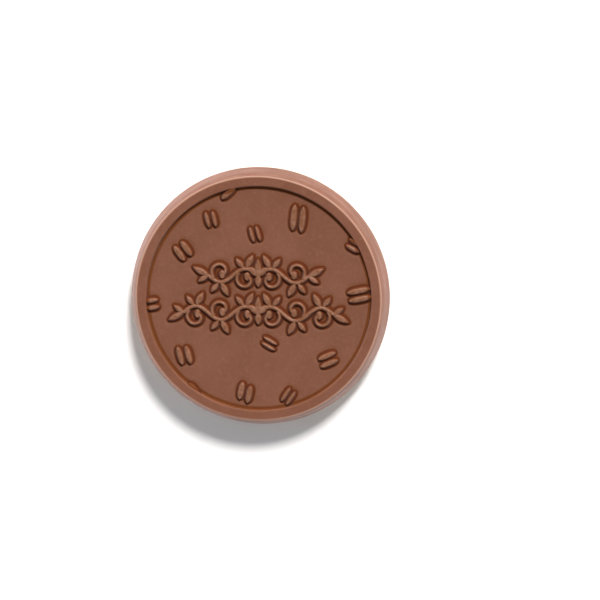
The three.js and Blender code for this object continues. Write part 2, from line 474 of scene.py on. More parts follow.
# %% Draw the vine's leaves
crest_leaves = [(-0.15, 118, 2.9, 1.85), (0.45, 52, 2.4, 1.65)]
tip_leaves = [(0, 28, 3.5, 1.85), (0, -35, 2.5, 1.65)]
middle_leaves = [(0, 90, 3.4, 1.95), (0, 42, 2.6, 1.95), (0, 138, 2.6, 1.95), (0, -90, 2.3, 1.95)]
crest_rise = 1.53 * mm


def leaves_at(x, y, side, bend, notes):
    """The leaves of some notes, which all grow from about one place."""
    return [
        leaf(x + side * start * mm, y, direction_of(degrees, side, bend), length * mm, width * mm)
        for start, degrees, length, width in notes
    ]


vine_strokes, vine_grains = [], []
for row_y, bays in vine_rows:
    vine_grains += leaves_at(0, row_y, 1, 1, middle_leaves)
    for side in (1, -1):
        vine_strokes.append((stem(row_y, bays, side), stem_width))
        vine_grains += leaves_at(side * bays * bay_length, row_y, side, (-1) ** bays, tip_leaves)
        for bay in range(bays):
            bend = (-1) ** bay
            spiral = curl(row_y, bay, side, bend)
            vine_strokes.append((spiral, curl_width))
            vine_grains.append(grain(BEAN, *spiral[-1], 0, bud_width, bud_width))
            crest_x, crest_y = side * (bay + 0.5) * bay_length, row_y + bend * crest_rise
            vine_grains += leaves_at(crest_x, crest_y, side, bend, crest_leaves)
face_stamp = drawing("face_stamp", vine_strokes, vine_grains + beans, field_z)

# %% [markdown]
# ## Cutting the stamp
#
# This tree turns the flat drawing into the shape that the mould's cutter left. Each grain becomes a
# short line of 25 points with a half width at each, and then every line is swept with a flat profile
# from -1 to 1. Last, each point is lifted by its distance from the nearer edge of its stroke: it
# climbs along a smooth slope and stays level once the slope is done.
#
# Both lines start as one even line from -1 to 1 whose points a sine crowds towards its ends, where
# the outlines turn most. The share along it is kept under a name, so it is still known after the
# line was turned, stretched or swept.

# %% Tree: short lines on the grains
def crowded_lines(tree, stored):
    """Two lines that remember their share from -1 to 1: one along a grain, one across a stroke."""
    ends = {"Count": 25, "Start Location": (-1, 0, 0), "Offset": (1, 0, 0)}
    even = add(tree, "MeshLine", ends, mode="END_POINTS")
    share = add(tree, "SeparateXYZ", [add(tree, "InputPosition")])
    quarter_turn = add(tree, "Math", [share, math.pi / 2], operation="MULTIPLY")
    crowded = add(tree, "Math", [quarter_turn], operation="SINE")
    lines = []
    for name, axis, reach in (("along", "Y", 0.5), ("across", "X", 1.0)):
        line = add(tree, "StoreNamedAttribute", {"Geometry": even, "Name": name, "Value": crowded})
        far = add(tree, "Math", [stored[name], reach], operation="MULTIPLY")
        spot = add(tree, "CombineXYZ", {axis: far})
        lines.append(add(tree, "SetPosition", {"Geometry": line, "Position": spot}))
    return lines


def lines_on_grains(tree, stored, grains, line):
    """One line on each grain's point, turned and stretched as the drawing says."""
    turn = add(tree, "CombineXYZ", {"Z": stored["turn"]})
    stretch = add(tree, "CombineXYZ", [1.0, stored["length"], 1.0])
    copies = {"Points": grains, "Instance": line, "Rotation": turn, "Scale": stretch}
    return add(tree, "RealizeInstances", [add(tree, "InstanceOnPoints", copies)])


# %% [markdown]
# The bean's outline is a superellipse, rounder than an ellipse at its ends. The leaf's is part of a
# sine, so it starts blunt, swells and closes to a tip.

# %% Tree: outlines
def grain_half_width(tree, stored):
    """Half the width of a bean or a leaf at each point along it."""
    along = stored["along"]
    magnitude = add(tree, "Math", [along], operation="ABSOLUTE")
    squared_off = add(tree, "Math", [magnitude, 3.0], operation="POWER")
    left = add(tree, "Math", [1.0, squared_off], operation="SUBTRACT")
    kept = add(tree, "Math", [left, 0.0], operation="MAXIMUM")
    bean_outline = add(tree, "Math", [kept], operation="SQRT")
    leaf_angle = add(tree, "Math", [along, 0.4 * math.pi, 0.56 * math.pi], operation="MULTIPLY_ADD")
    swell = add(tree, "Math", [leaf_angle], operation="SINE")
    leaf_outline = add(tree, "Math", [swell, 0.8], operation="POWER")
    is_leaf = add(tree, "Math", [stored["kind"], (BEAN + LEAF) / 2], operation="GREATER_THAN")
    outline = add(tree, "Switch", [is_leaf, bean_outline, leaf_outline], input_type="FLOAT")
    half = add(tree, "Math", [stored["width"], 0.5], operation="MULTIPLY")
    return add(tree, "Math", [half, outline], operation="MULTIPLY")


def lift_of(tree, stored, sockets):
    """The height over the stamp's ground: a smooth slope from the edge, then a slight crown."""
    magnitude = add(tree, "Math", [stored["across"]], operation="ABSOLUTE")
    inward = add(tree, "Math", [1.0, magnitude], operation="SUBTRACT")
    from_edge = add(tree, "Math", [stored["half_width"], inward], operation="MULTIPLY")
    slope = {"Value": from_edge, "From Max": sockets["Side Width"], "To Max": sockets["Depth"]}
    climb = add(tree, "MapRange", slope, interpolation_type="SMOOTHSTEP")
    squared = add(tree, "Math", [magnitude, 2.0], operation="POWER")
    lost = add(tree, "Math", [sockets["Crown"], squared], operation="MULTIPLY")
    crown = add(tree, "Math", [1.0, lost], operation="SUBTRACT")
    return add(tree, "Math", [climb, crown], operation="MULTIPLY")


# %% Tree: cut the stamp
def cutting_tree():
    tree, sockets, stored = geometry_tree(
        "cut_stamp", ("Drawing", "Side Width", "Depth", "Crown"),
        ("kind", "turn", "length", "width", "half_width", "along", "across"),
    )
    is_grain = add(tree, "Math", [stored["kind"], BEAN / 2], operation="GREATER_THAN")
    parts = add(tree, "SeparateGeometry", [sockets["Drawing"], is_grain]).outputs
    grain_line, profile_line = crowded_lines(tree, stored)
    grain_lines = lines_on_grains(tree, stored, parts["Selection"], grain_line)
    widths = {"Geometry": grain_lines, "Name": "half_width", "Value": grain_half_width(tree, stored)}
    shaped = add(tree, "StoreNamedAttribute", widths)
    every_line = add(tree, "JoinGeometry", {"Geometry": [shaped, parts["Inverted"]]})

    # Sweep every line with the flat profile, level all the way.
    upright = add(tree, "SetCurveNormal", [add(tree, "MeshToCurve", [every_line])], mode="Z_UP")
    profile = add(tree, "MeshToCurve", [profile_line])
    sweep = {"Curve": upright, "Profile Curve": profile, "Scale": stored["half_width"]}
    ribbons = add(tree, "CurveToMesh", sweep)
    offset = add(tree, "CombineXYZ", {"Z": lift_of(tree, stored, sockets)})
    return end_tree(tree, add(tree, "SetPosition", {"Geometry": ribbons, "Offset": offset}), sockets)


cut_stamp = cutting_tree()
brass = bpy.data.materials.new("engraved_brass_mould")
run_tree(
    face_stamp, cut_stamp,
    {"Side Width": 0.55 * mm, "Depth": relief_height, "Crown": 0.16, "Material": brass},
)

# %% [markdown]
# ## Making room for the relief
#
# A press can only raise points that are there. The field needs points a tenth of a millimetre apart
# where the slopes are, and a quarter of that number would do elsewhere, so the skin is refined only
# near the stamp: each pass halves the edges within reach of it. Subdividing the whole skin would
# cost four times the triangles for the same edges.

# %% Refine the skin near the stamp
def refine_near(piece, stamp, level, reaches):
    """Halves the edges near the stamp's footprint once for each reach, finer and closer each time."""
    stamp_tree = BVHTree.FromPolygons(
        [(p.co.x, p.co.y, level) for p in stamp.data.vertices],
        [list(face.vertices) for face in stamp.data.polygons],
    )
    skin = bmesh.new()
    skin.from_mesh(piece.data)
    for reach in reaches:
        near = set()
        for point in skin.verts:
            above = Vector((point.co.x, point.co.y, level))
            if abs(point.co.z - level) < reach and stamp_tree.find_nearest(above, reach)[0]:
                near.add(point)
        edges = [edge for edge in skin.edges if edge.verts[0] in near or edge.verts[1] in near]
        bmesh.ops.subdivide_edges(skin, edges=edges, cuts=1, use_grid_fill=True, use_single_edge=True)
        bmesh.ops.triangulate(skin, faces=[face for face in skin.faces if len(face.verts) > 3])
    skin.to_mesh(piece.data)
    skin.free()
    print(f"{piece.name}: {len(piece.data.polygons)} triangles after {len(reaches)} passes")


refine_near(chocolate, face_stamp, field_z, (0.6 * mm, 0.3 * mm))

# %% [markdown]
# ## Pressing
#
# The press works like a depth gauge. From above each point of the face it drops a ray onto the
# stamp. Where the ray lands, the point moves up to that height, so where strokes cross, the higher
# one wins and no seam shows. Where it misses, the distance to the nearest stroke makes the faint
# hollow that the material leaves as it shrinks round a raised stroke.
#
# Two attributes go to the materials: "cavity", how deep in a corner a point lies, where shade is
# painted, and "raised", how high on the relief it stands, where a glow is painted on the chocolate.
# Both fade out where the rim covers the relief.

# %% Tree: feel for the stamp
def felt_stamp(tree, sockets, x, y):
    """Whether a ray from above lands on the stamp, how high, and how far away the stamp is."""
    stamp = add(tree, "ObjectInfo", [sockets["Stamp"]], transform_space="ORIGINAL").outputs["Geometry"]
    level = sockets["Level"]
    drop = 50 * mm
    start = add(tree, "CombineXYZ", [x, y, add(tree, "Math", [level, drop], operation="ADD")])
    ray = {"Target Geometry": stamp, "Source Position": start, "Ray Direction": (0, 0, -1),
           "Ray Length": 2 * drop}
    hit, hit_place = add(tree, "Raycast", ray).outputs[:2]
    landed = add(tree, "SeparateXYZ", [hit_place]).outputs["Z"]
    probe = {"Geometry": stamp, "Sample Position": add(tree, "CombineXYZ", [x, y, level])}
    nearest = add(tree, "Proximity", probe, target_element="FACES").outputs["Distance"]
    return hit, landed, nearest


def sunk_height(tree, sockets, height, nearest, low_lying):
    """The height with the hollow beside a stroke, half a sine that starts and ends at nothing."""
    turn = {"Value": nearest, "From Max": sockets["Hollow Width"], "To Max": math.pi}
    dip = add(tree, "Math", [add(tree, "MapRange", turn)], operation="SINE")
    deep = add(tree, "Math", [dip, sockets["Hollow Depth"]], operation="MULTIPLY")
    sinking = add(tree, "Math", [deep, low_lying], operation="MULTIPLY")
    return add(tree, "Math", [height, sinking], operation="SUBTRACT")


def foot_of_strokes(tree, sockets, hit, landed, nearest, span):
    """How close a place is to a stroke's foot, from the lower part of its side to the field."""
    field = {"Value": nearest, "From Max": sockets["Corner Width"], "To Min": 1.0, "To Max": 0.0}
    beside = add(tree, "MapRange", field, interpolation_type="SMOOTHSTEP")
    on_side = add(tree, "MapRange", {"Value": landed, **span, "To Min": 1.6, "To Max": -0.2})
    return add(tree, "Switch", [hit, beside, on_side], input_type="FLOAT")


# %% Tree: press the relief
def pressing_tree():
    tree, sockets, stored = geometry_tree(
        "press_relief",
        ("Skin", "Stamp", "Level", "Depth", "Hollow Depth", "Hollow Width", "Corner Width"),
        ("pressed", "cavity"),
    )
    x, y, height = add(tree, "SeparateXYZ", [add(tree, "InputPosition")]).outputs
    top = add(tree, "Math", [sockets["Level"], sockets["Depth"]], operation="ADD")
    span = {"From Min": sockets["Level"], "From Max": top}
    low_lying = add(tree, "MapRange", {"Value": height, **span, "To Min": 1.0, "To Max": 0.0})

    hit, landed, nearest = felt_stamp(tree, sockets, x, y)
    sunk = sunk_height(tree, sockets, height, nearest, low_lying)
    higher = add(tree, "Math", [sunk, landed], operation="MAXIMUM")
    pressed_height = add(tree, "Switch", [hit, sunk, higher], input_type="FLOAT")

    # The feet of the strokes join the cavity mark, where the material paints shade.
    foot = foot_of_strokes(tree, sockets, hit, landed, nearest, span)
    foot_mark = add(tree, "Math", [foot, low_lying], operation="MULTIPLY", use_clamp=True)
    cavity = add(tree, "Math", [stored["cavity"], foot_mark], operation="MAXIMUM")
    # How high a place stands on the relief, where the chocolate's tops get a painted glow.
    raised = add(tree, "MapRange", {"Value": landed, **span})
    for share in (hit, stored["pressed"], low_lying):
        raised = add(tree, "Math", [raised, share], operation="MULTIPLY")

    skin = sockets["Skin"]
    for name, value in (("cavity", cavity), ("raised", raised)):
        skin = add(tree, "StoreNamedAttribute", {"Geometry": skin, "Name": name, "Value": value})
    spot = add(tree, "CombineXYZ", [x, y, pressed_height])
    move = {"Geometry": skin, "Selection": stored["pressed"], "Position": spot}
    return end_tree(tree, add(tree, "SetPosition", move), sockets)


press_relief = pressing_tree()

# %% [markdown]
# ## Ruffling
#
# A cast or baked surface is never as true as its tool. Noise pushes each point along its normal, in
# a broad size and a fine one. The heights are then clamped between two levels, because a flat joint
# or a table top would have pressed anything that stands out back in. A Displace modifier could do
# the pushing, but not the clamping.

# %% Tree: ruffle the skin
def ruffling_tree():
    labels = ("Skin", "Broad Swing", "Broad Size", "Fine Swing", "Fine Size", "Lowest", "Highest")
    tree, sockets = geometry_tree("ruffle_skin", labels)[:2]
    place = add(tree, "InputPosition")
    push = 0.0
    for swing, size in (("Broad Swing", "Broad Size"), ("Fine Swing", "Fine Size")):
        scale = add(tree, "Math", [1.0, sockets[size]], operation="DIVIDE")
        noise = add(tree, "TexNoise", {"Vector": place, "Scale": scale, "Detail": 2.0})
        centred = add(tree, "Math", [noise, 0.5], operation="SUBTRACT")
        push = add(tree, "Math", [centred, sockets[swing], push], operation="MULTIPLY_ADD")
    offset = add(tree, "VectorMath", [add(tree, "InputNormal"), push], operation="SCALE")
    uneven = add(tree, "SetPosition", {"Geometry": sockets["Skin"], "Offset": offset})

    x, y, height = add(tree, "SeparateXYZ", [place]).outputs
    kept = add(tree, "Clamp", [height, sockets["Lowest"], sockets["Highest"]])
    spot = add(tree, "CombineXYZ", [x, y, kept])
    levelled = add(tree, "SetPosition", {"Geometry": uneven, "Position": spot})
    return end_tree(tree, add(tree, "SetShadeSmooth", [levelled]), sockets)


ruffle_skin = ruffling_tree()

# %% [markdown]
# ## Colours
#
# Screen colours are stored bent, so that dark tones get more steps, while light adds up straight.
# Every colour is written as the hex value that a colour picker shows, and one function straightens
# it for the shader.
#
# A material is written as a recipe: a function that builds the patterns and says what each input of
# the shader takes. Its colour starts from one tone, and others are laid over it. Each layer has a
# pattern, the range of it that counts, how much of the tone shows at either end, and the tone.

# %% Helpers for colours and materials
def linear(hex_colour):
    """An sRGB hex colour as the linear colour that shaders expect."""
    straight = []
    for start in (1, 3, 5):
        value = int(hex_colour[start : start + 2], 16) / 255
        straight.append(value / 12.92 if value <= 0.04045 else ((value + 0.055) / 1.055) ** 2.4)
    return (*straight, 1.0)


def new_material(recipe):
    """A material with the recipe's name, whose patterns read the object's own coordinates."""
    material = bpy.data.materials.new(recipe.__name__)
    material.use_nodes = True
    tree = material.node_tree
    tree.nodes.clear()
    place = add(tree, "TexCoord").outputs["Object"]
    shader = add(tree, "BsdfPrincipled", recipe(tree, place))
    add(tree, "OutputMaterial", [shader])
    print(f"{material.name}: {len(tree.nodes)} nodes")
    return material


def layered(tree, colour, *layers):
    """The colour with every layer laid over it, the first one lowest."""
    for pattern, (start, end), (least, most), tone in layers:
        reach = {"Value": pattern, "From Min": start, "From Max": end, "To Min": least, "To Max": most}
        share = add(tree, "MapRange", reach)
        mix = {"Factor": share, "A": colour, "B": tone}
        colour = add(tree, "Mix", mix, data_type="RGBA")
    return colour


print("chocolate brown in linear light:", [round(value, 3) for value in linear("#704633")[:3]])

# %% [markdown]
# ### Tempered milk chocolate
#
# Chocolate from a polished mould is a hard fat full of fine sugar and cocoa: a satin surface with an
# index of refraction of about 1.46. Its colour is not quite even. Broad clouds come from uneven
# cooling, and a haze of fat crystals lightens it in specks. Corners are painted deeper and redder, as
# painted shade for light that bounces there from one brown wall to the next. The tops of the relief
# are painted a little warmer than the field, as a painted glow for light that leaks in from the sides.
#
# Handling leaves its marks too. Pale streaks run round the wall, partly rubbed in as the disc slid
# out of the mould and partly painted sheen. The edge of the face is painted pale all the way round,
# partly for wear and partly as a painted highlight.
#
# The gloss has two parts. The body is satin, and dull in the corners, which no tool polished. Its
# fine crystals mirror less than the index alone would say, so the specular level is set under its
# middle value of a half, and shadow lines keep their brown. A thin dust of fat bloom scatters light
# that grazes it, which the sheen stands for: it makes a wall seen from above pale and pinkish.

# %% Material: milk chocolate colour
def rub_and_sheen_share(tree, place):
    """How pale a place is painted: rubbed streaks and painted sheen round the wall, and the worn
    face's edge with a painted highlight.
    """
    # Pale streaks round the wall: rubbed, and partly painted sheen.
    radius = radius_of(tree, place)
    past_face = {"Value": radius, "From Min": face_radius - 0.1 * mm,
                 "From Max": face_radius + 0.2 * mm}
    stretched = add(tree, "Mapping", {"Vector": place, "Scale": (1, 1, 9)})
    streaks = add(tree, "TexNoise", {"Vector": stretched, "Scale": 1 / (6 * mm), "Detail": 3.0})
    pale = {"Value": streaks, "From Min": 0.4, "From Max": 0.7, "To Max": 0.3}
    shares = [add(tree, "MapRange", past_face), add(tree, "MapRange", pale)]
    on_wall = add(tree, "Math", shares, operation="MULTIPLY")

    # The face's edge, painted pale for wear and as a painted highlight.
    height = add(tree, "SeparateXYZ", [place]).outputs["Z"]
    section = add(tree, "CombineXYZ", {"X": radius, "Z": height})
    edge = (face_radius, 0, face_z)
    from_edge = add(tree, "VectorMath", [section, edge], operation="DISTANCE")
    worn_and_highlit = {"Value": from_edge, "From Min": 0.12 * mm, "From Max": 0.3 * mm, "To Min": 1.0,
            "To Max": 0.0}
    return add(tree, "Math", [on_wall, add(tree, "MapRange", worn_and_highlit)], operation="MAXIMUM")


def chocolate_colour(tree, place):
    cooling = add(tree, "TexNoise", {"Vector": place, "Scale": 1 / (7 * mm)})
    crystals = add(tree, "TexNoise", {"Vector": place, "Scale": 1 / (0.7 * mm), "Detail": 3.0})
    sugar = add(tree, "TexVoronoi", {"Vector": place, "Scale": 1 / (1.1 * mm)})
    raised = add(tree, "Attribute", attribute_name="raised").outputs["Fac"]
    cavity = add(tree, "Attribute", attribute_name="cavity").outputs["Fac"]
    glowing_tops = layered(tree, linear("#72482c"), (crystals, (0.35, 0.65), (0, 1), linear("#8a644f")))
    return layered(
        tree, linear("#724834"),
        (cooling, (0.35, 0.65), (0, 1), linear("#784d3a")),  # clouds
        (crystals, (0.5, 0.8), (0, 0.5), linear("#835746")),  # haze
        # rubbed places, partly painted sheen on the wall and a painted highlight on the face's edge
        (rub_and_sheen_share(tree, place), (0, 1), (0, 1), linear("#a07a66")),  # rubbed places
        (sugar, (0.08, 0.14), (0.3, 0), linear("#946a58")),  # sugar specks
        # a painted glow on the relief's tops
        (raised, (0.35, 1), (0, 0.75), glowing_tops),  # the relief
        # painted shade in the corners, a warm fringe and then a deep brown; at the rim's foot it
        # widens the rim's shadow
        (cavity, (0, 0.4), (0, 0.85), linear("#68360a")),  # the fringe of a corner
        (cavity, (0.4, 0.9), (0, 0.95), linear("#50210a")),  # its depth
    )


# %% Material: milk chocolate
def tempered_milk_chocolate(tree, place):
    handling = add(tree, "TexNoise", {"Vector": place, "Scale": 1 / (1.6 * mm)})
    satin = {"Value": handling, "From Min": 0.3, "From Max": 0.7, "To Min": 0.38, "To Max": 0.46}
    cavity = add(tree, "Attribute", attribute_name="cavity").outputs["Fac"]
    dull_share = add(tree, "MapRange", {"Value": cavity, "From Max": 0.4})
    gloss = {"Factor": dull_share, "A": add(tree, "MapRange", satin), "B": 1.0}
    roughness = add(tree, "Mix", gloss, data_type="FLOAT")
    crystals = add(tree, "TexNoise", {"Vector": place, "Scale": 1 / (0.35 * mm), "Detail": 3.0})
    fine_grain = add(tree, "Bump", {"Strength": 0.5, "Distance": 0.02 * mm, "Height": crystals})
    return {
        "Base Color": chocolate_colour(tree, place),
        "Roughness": roughness,
        "IOR": 1.46,
        "Specular IOR Level": 0.3,
        "Normal": fine_grain,
        "Subsurface Weight": 0.25,
        "Subsurface Scale": 0.6 * mm,
        "Subsurface Radius": (1.0, 0.45, 0.25),
        "Sheen Weight": 0.16,
        "Sheen Roughness": 0.45,
        "Sheen Tint": linear("#ffe4dc"),
    }


milk_chocolate = new_material(tempered_milk_chocolate)

# %% Cast the chocolate
run_tree(
    chocolate, press_relief,
    {"Stamp": face_stamp, "Level": field_z, "Depth": relief_height, "Hollow Depth": 0.06 * mm,
     "Hollow Width": 0.6 * mm, "Corner Width": 0.42 * mm, "Material": milk_chocolate},
)
run_tree(
    chocolate, ruffle_skin,
    {"Broad Swing": 0.06 * mm, "Broad Size": 6 * mm, "Fine Swing": 0.016 * mm, "Fine Size": 0.9 * mm,
     "Lowest": seam_z, "Highest": face_z, "Material": milk_chocolate},
)
bpy.data.objects.remove(face_stamp)

# %% [markdown]
# ## The biscuit
#
# The biscuit is rolled dough that a die pressed and an oven set. It is drawn face up, as the die saw
# it, and turned over onto its face at the end. From the middle of its joint with the chocolate the
# profile rounds the outer edge, crosses the border, and then the ring and the flat button in the
# middle, which stand highest and carry the cookie. Dough puffs up and sets soft, so its roundings
# are three times those of the chocolate.

# %% Turn the biscuit
dough_top = seam_z - biscuit_low.z
border_level = dough_top - 0.2 * mm
ditch_level = dough_top - 0.5 * mm
floor_level = dough_top - 0.75 * mm
side_radius = biscuit_radius - 0.08 * mm
ring_radius = 0.7 * biscuit_radius
ring_half = 0.45 * mm
ring_slope = 0.55 * mm
ditch_radius = ring_radius + ring_half + ring_slope
floor_radius = ring_radius - ring_half - ring_slope
button_radius = 1.5 * mm
dough_foot_reach = 0.5 * mm

biscuit_corners = [
    (0, 0, 0),
    (side_radius, 0, 0.8 * mm),
    (side_radius, border_level, 1.2 * mm),
    (ditch_radius + 1.0 * mm, border_level, 1.0 * mm),
    (ditch_radius, ditch_level, 0.3 * mm),
    (ring_radius + ring_half, dough_top, 0.5 * mm),
    (ring_radius - ring_half, dough_top, 0.5 * mm),
    (floor_radius, floor_level, 0.35 * mm),
    (button_radius + ring_slope, floor_level, 0.35 * mm),
    (button_radius, dough_top, 0.35 * mm),
    (0, dough_top, 0),
]


def biscuit_spacing(place):
    """Coarse at the hidden joint, finest on the border, where the grooves go."""
    if place.y < hair:
        return 1.6 * mm
    if place.x > ditch_radius:
        return 0.27 * mm
    return 0.4 * mm


def on_floor(radius, height):
    """1 inside the ring, where leaves are pressed, and 0 elsewhere."""
    return float(radius < floor_radius and height > floor_level - hair)


def on_border(radius, height):
    """1 outside the ring on the pressed side, where the grooves go, and 0 elsewhere."""
    return float(radius > ditch_radius and height > dough_top / 2)


def dough_foot(radius, height):
    """How close a place is to the foot of the ring or of the button, from 0 to 1, for painted shade.
    """
    feet = (ditch_radius, floor_radius, button_radius + ring_slope)
    aside = min(abs(radius - foot) for foot in feet)
    return max(0.0, 1 - aside / dough_foot_reach) if height > dough_top / 2 else 0.0


biscuit = turned_skin(
    "baked_biscuit", biscuit_corners, biscuit_spacing,
    {"pressed": on_floor, "border": on_border, "cavity": dough_foot},
)

# %% [markdown]
# ### Leaves inside the ring
#
# Three circles of pressed leaves fill the floor. A real die is worn and dough creeps back, so each
# leaf is a little out of place and length. The seed of the random numbers is fixed, which keeps the
# same unevenness in every run. The same two trees as for the chocolate cut and press them, with a
# softer side and more crown.

# %% Draw and press the leaves
leaf_circles = [
    (7, 0.19, 5.2 * mm, 3.7 * mm, 0),
    (13, 0.37, 5.3 * mm, 3.6 * mm, 38),
    (20, 0.555, 4.9 * mm, 3.2 * mm, 46),
]
leaf_relief = 0.6 * mm


def leaf_circle(chance, count, share, length, width, lean):
    """Leaves round a circle, a share of the biscuit's radius, that lean left and right in turn."""
    leaves = []
    for index in range(count):
        angle = 2 * math.pi * index / count + chance.uniform(-0.05, 0.05)
        turn = angle - math.pi / 2 + math.radians(lean) * (1 if index % 2 == 0 else -1)
        x = share * biscuit_radius * math.cos(angle)
        y = share * biscuit_radius * math.sin(angle)
        leaves.append(grain(LEAF, x, y, turn, length * chance.uniform(0.9, 1.1), width))
    return leaves


chance = random.Random(7)
leaves = [item for circle in leaf_circles for item in leaf_circle(chance, *circle)]
dough_stamp = drawing("dough_stamp", [], leaves, floor_level)
run_tree(
    dough_stamp, cut_stamp,
    {"Side Width": 0.75 * mm, "Depth": leaf_relief, "Crown": 0.35, "Material": brass},
)
refine_near(biscuit, dough_stamp, floor_level, (0.4 * mm,))

# %% [markdown]
# ### Grooves round the border
#
# Sixty-eight short grooves run out across the border, and what stays between them looks like ribs.
# They repeat by a rule, so no groove is modelled: Geometry Nodes works out for each point which
# groove is nearest, from its angle, and how far its middle line is. A groove with round ends is
# simply every place that is nearer than half its width to that line. The groove's number also picks
# its own random width, depth, place and ends.

# %% Tree: find the nearest groove
def nearest_groove(tree, sockets, place):
    """The nearest groove's number, how many steps aside of it a place is, and a step's angle."""
    x, y = add(tree, "SeparateXYZ", [place]).outputs[:2]
    angle = add(tree, "Math", [y, x], operation="ARCTAN2")
    step_angle = add(tree, "Math", [2 * math.pi, sockets["Count"]], operation="DIVIDE")
    station = add(tree, "Math", [angle, step_angle], operation="DIVIDE")
    nearest = add(tree, "Math", [station], operation="ROUND")
    number = add(tree, "Math", [nearest, sockets["Count"]], operation="FLOORED_MODULO")
    return number, add(tree, "Math", [station, nearest], operation="SUBTRACT"), step_angle


def uneven_factors(tree, sockets, number, count):
    """Factors close to 1, which a groove's number picks."""
    factors = []
    for draw in range(count):
        seed = add(tree, "Math", [sockets["Seed"], draw], operation="ADD")
        swing = add(tree, "RandomValue", {"Min": -1.0, "Max": 1.0, "ID": number, "Seed": seed})
        factor = [swing, sockets["Unevenness"], 1.0]
        factors.append(add(tree, "Math", factor, operation="MULTIPLY_ADD"))
    return factors


def past_ends(tree, sockets, radius, near_end, far_end):
    """How far a place is past either end of a groove's middle line, and 0 between them."""
    start_swing = add(tree, "Math", [sockets["Half Width"], near_end], operation="MULTIPLY")
    start = add(tree, "Math", [sockets["Inner Radius"], start_swing], operation="ADD")
    stop_swing = add(tree, "Math", [sockets["Half Width"], far_end], operation="MULTIPLY")
    stop = add(tree, "Math", [sockets["Outer Radius"], stop_swing], operation="SUBTRACT")
    before = add(tree, "Math", [start, radius], operation="SUBTRACT")
    after = add(tree, "Math", [radius, stop], operation="SUBTRACT")
    past = add(tree, "Math", [before, after], operation="MAXIMUM")
    return add(tree, "Math", [past, 0.0], operation="MAXIMUM")


# %% Tree: press the grooves
def grooving_tree():
    tree, sockets, stored = geometry_tree(
        "press_grooves",
        ("Skin", "Count", "Inner Radius", "Outer Radius", "Half Width", "Depth", "Unevenness", "Seed"),
        ("border", "cavity"),
    )
    place = add(tree, "InputPosition")
    radius = radius_of(tree, place)
    number, aside, step_angle = nearest_groove(tree, sockets, place)
    wide, deep, sideways, near_end, far_end = uneven_factors(tree, sockets, number, 5)

    # How far the groove's middle line is, to the side and past its ends.
    steps = (("ADD", sideways), ("SUBTRACT", 1.0), ("MULTIPLY", step_angle), ("MULTIPLY", radius))
    for operation, other in steps:
        aside = add(tree, "Math", [aside, other], operation=operation)
    beyond = past_ends(tree, sockets, radius, near_end, far_end)
    away = add(tree, "CombineXYZ", {"X": aside, "Y": beyond})
    from_middle = add(tree, "VectorMath", [away], operation="LENGTH")

    # The dent: full depth on the middle line, nothing at half the width.
    half_width = add(tree, "Math", [sockets["Half Width"], wide], operation="MULTIPLY")
    fade = {"Value": from_middle, "From Max": half_width, "To Min": 1.0, "To Max": 0.0}
    dent = add(tree, "MapRange", fade, interpolation_type="SMOOTHSTEP")
    inside = add(tree, "Math", [dent, stored["border"]], operation="MULTIPLY")
    depth = add(tree, "Math", [sockets["Depth"], deep], operation="MULTIPLY")
    drop = add(tree, "Math", [inside, depth], operation="MULTIPLY")
    offset = add(tree, "CombineXYZ", {"Z": add(tree, "Math", [0.0, drop], operation="SUBTRACT")})
    # The grooves join the cavity mark, which the dough's colour paints darker, partly as shade.
    cavity = add(tree, "Math", [stored["cavity"], inside], operation="MAXIMUM")
    mark = {"Geometry": sockets["Skin"], "Name": "cavity", "Value": cavity}
    skin = add(tree, "StoreNamedAttribute", mark)
    return end_tree(tree, add(tree, "SetPosition", {"Geometry": skin, "Offset": offset}), sockets)


press_grooves = grooving_tree()

# %% [markdown]
# ### Baked sugar dough
#
# Shortcrust bakes to a dry, crumbly surface: flour and sugar grains under half a millimetre, pores
# where steam got out, and no gloss at all. The high places stay pale and floury. Hollows are painted
# darker and more golden, partly for the fat and sugar they keep and partly as painted shade, and the
# pores are painted darker as shade in their pits. The thin outer edge turns golden, as it bakes first.

# %% Material: baked dough colour
def dough_colour(tree, place, pores):
    patches = add(tree, "TexNoise", {"Vector": place, "Scale": 1 / (4.5 * mm), "Detail": 3.0})
    flour = add(tree, "TexNoise", {"Vector": place, "Scale": 1 / (0.45 * mm), "Detail": 3.0})
    cavity = add(tree, "Attribute", attribute_name="cavity").outputs["Fac"]
    edge_band = (0.93 * biscuit_radius, biscuit_radius)
    return layered(
        tree, linear("#dcc9ac"),
        (patches, (0.35, 0.65), (0, 1), linear("#d6bb97")),  # patches that baked longer
        (flour, (0.5, 0.75), (0, 0.6), linear("#e8dac2")),  # loose flour
        (radius_of(tree, place), edge_band, (0, 0.45), linear("#c69f70")),  # the outer edge
        # hollows, painted darker and more golden, partly as shade
        (cavity, (0.2, 1), (0, 0.75), linear("#c29a70")),  # hollows
        # pores, painted darker as shade in their pits
        (pores, (0, 1), (0, 0.4), linear("#a97848")),
    )


# %% Material: baked dough
def baked_sugar_dough(tree, place):
    steam = add(tree, "TexVoronoi", {"Vector": place, "Scale": 1 / (1.5 * mm)})
    pore_share = {"Value": steam, "From Min": 0.05, "From Max": 0.17, "To Min": 1.0, "To Max": 0.0}
    pores = add(tree, "MapRange", pore_share, interpolation_type="SMOOTHSTEP")
    crumbs = add(tree, "TexNoise", {"Vector": place, "Scale": 1 / (0.3 * mm), "Detail": 4.0})
    crumb_bump = add(tree, "Bump", {"Strength": 0.8, "Distance": 0.12 * mm, "Height": crumbs})
    pits = {"Strength": 0.8, "Distance": -0.12 * mm, "Height": pores, "Normal": crumb_bump}
    return {
        "Base Color": dough_colour(tree, place, pores),
        "Roughness": 0.85,
        "IOR": 1.45,
        "Normal": add(tree, "Bump", pits),
        "Subsurface Weight": 0.15,
        "Subsurface Scale": 0.5 * mm,
        "Subsurface Radius": (1.0, 0.6, 0.35),
    }


sugar_dough = new_material(baked_sugar_dough)

